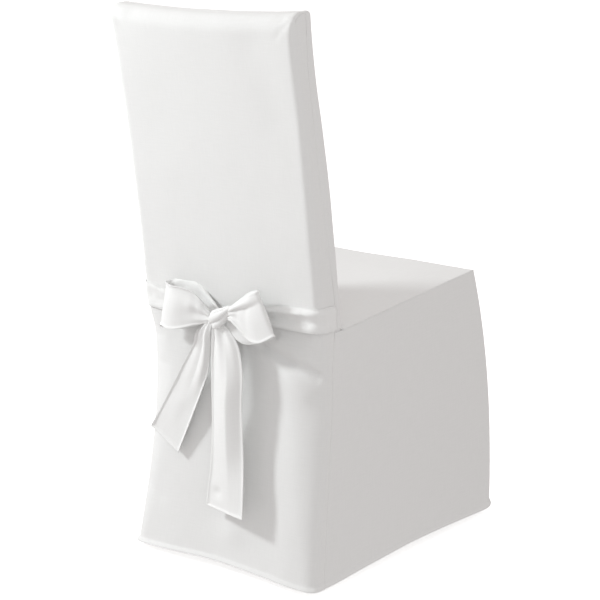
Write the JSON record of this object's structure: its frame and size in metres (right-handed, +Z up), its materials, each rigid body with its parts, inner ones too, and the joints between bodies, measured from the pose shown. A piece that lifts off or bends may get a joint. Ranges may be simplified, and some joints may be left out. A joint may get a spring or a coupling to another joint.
{
  "type": "chair cover with sash",
  "caption": "Fitted floor-length cloth cover for a high-backed dining chair, with a sash tied in a bow behind the back.",
  "frame": {"origin": "On the flat middle of the seat panel's underside, where the cover rests on the chair's seat: midway between the sides and 0.277 m forward of the lowest part of the back.", "axes": "+Z up; +Y towards the back of the chair, where the bow is; -Y towards the front of the seat; +X towards the left of somebody sitting on the chair."},
  "size_m": [0.4484, 0.5897, 0.9902],
  "materials": {
    "cover_cloth": "matt white plain-weave cloth",
    "sash_cloth": "matt white plain-weave cloth, a little finer"
  },
  "bodies": {
    "root": {"outer_back": "cover_cloth", "inner_back": "cover_cloth", "seat_panel": "cover_cloth", "side_skirt_left": "cover_cloth", "side_skirt_right": "cover_cloth", "front_skirt": "cover_cloth", "sash_strap_left": "sash_cloth", "sash_strap_right": "sash_cloth", "bow_knot": "sash_cloth", "bow_loop_left": "sash_cloth", "bow_loop_right": "sash_cloth", "bow_tail_left": "sash_cloth", "bow_tail_right": "sash_cloth"}
  },
  "joints": []
}
